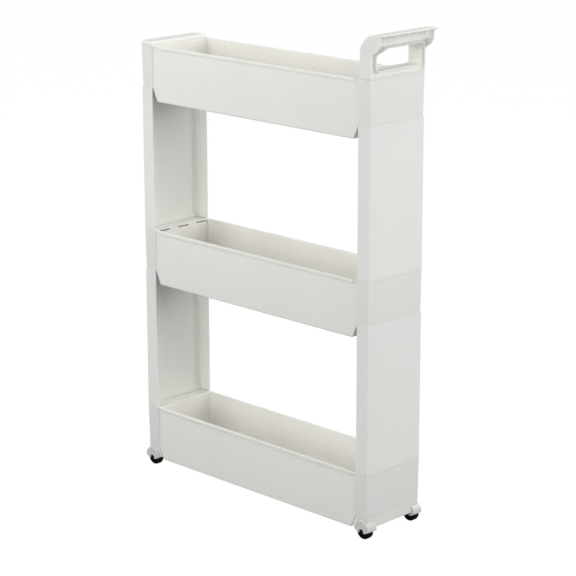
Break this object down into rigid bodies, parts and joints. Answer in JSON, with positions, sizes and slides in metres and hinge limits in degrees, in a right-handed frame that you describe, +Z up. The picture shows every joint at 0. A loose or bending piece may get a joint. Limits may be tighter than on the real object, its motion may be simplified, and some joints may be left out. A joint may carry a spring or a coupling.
{
  "type": "rolling pantry cart",
  "caption": "Slim tall slide-out storage cart: open trays stacked on C-shaped end panels, a pull handle at one end, and small fixed wheels in domed housings.",
  "frame": {"origin": "on the floor under the middle of the whole cart's box", "axes": "+X towards the handle end along the cart's length, +Y across its narrow width to the left, +Z up"},
  "size_m": [0.5292, 0.1252, 0.783],
  "materials": {
    "tray": "warm white moulded polypropylene, satin",
    "panel": "cool white moulded polypropylene, satin",
    "trim": "warm white moulded polypropylene, satin",
    "foot": "warm white moulded polypropylene, satin",
    "housing": "warm white moulded polypropylene, satin",
    "wheel": "black moulded plastic, satin",
    "axle": "black moulded plastic, satin"
  },
  "bodies": {
    "root": {"bottom_tray": "tray", "middle_tray": "tray", "top_tray": "tray", "front_lower_panel": "panel", "front_upper_panel": "panel", "rear_lower_panel": "panel", "rear_upper_panel": "panel", "pull_handle": "trim", "rear_cap": "trim", "front_foot": "foot", "rear_foot": "foot", "front_left_housing": "housing", "front_right_housing": "housing", "rear_left_housing": "housing", "rear_right_housing": "housing"},
    "front_left_wheelset": {"front_left_wheel": "wheel", "front_left_axle": "axle"},
    "front_right_wheelset": {"front_right_wheel": "wheel", "front_right_axle": "axle"},
    "rear_left_wheelset": {"rear_left_wheel": "wheel", "rear_left_axle": "axle"},
    "rear_right_wheelset": {"rear_right_wheel": "wheel", "rear_right_axle": "axle"}
  },
  "joints": [
    {"name": "front_left_spin", "type": "hinge", "parent": "root", "child": "front_left_wheelset", "pos_m": [0.2294, 0.0532, 0.013], "axis": [0, 1, 0], "continuous": true},
    {"name": "front_right_spin", "type": "hinge", "parent": "root", "child": "front_right_wheelset", "pos_m": [0.2294, -0.0532, 0.013], "axis": [0, 1, 0], "continuous": true},
    {"name": "rear_left_spin", "type": "hinge", "parent": "root", "child": "rear_left_wheelset", "pos_m": [-0.2492, 0.0532, 0.013], "axis": [0, 1, 0], "continuous": true},
    {"name": "rear_right_spin", "type": "hinge", "parent": "root", "child": "rear_right_wheelset", "pos_m": [-0.2492, -0.0532, 0.013], "axis": [0, 1, 0], "continuous": true}
  ]
}
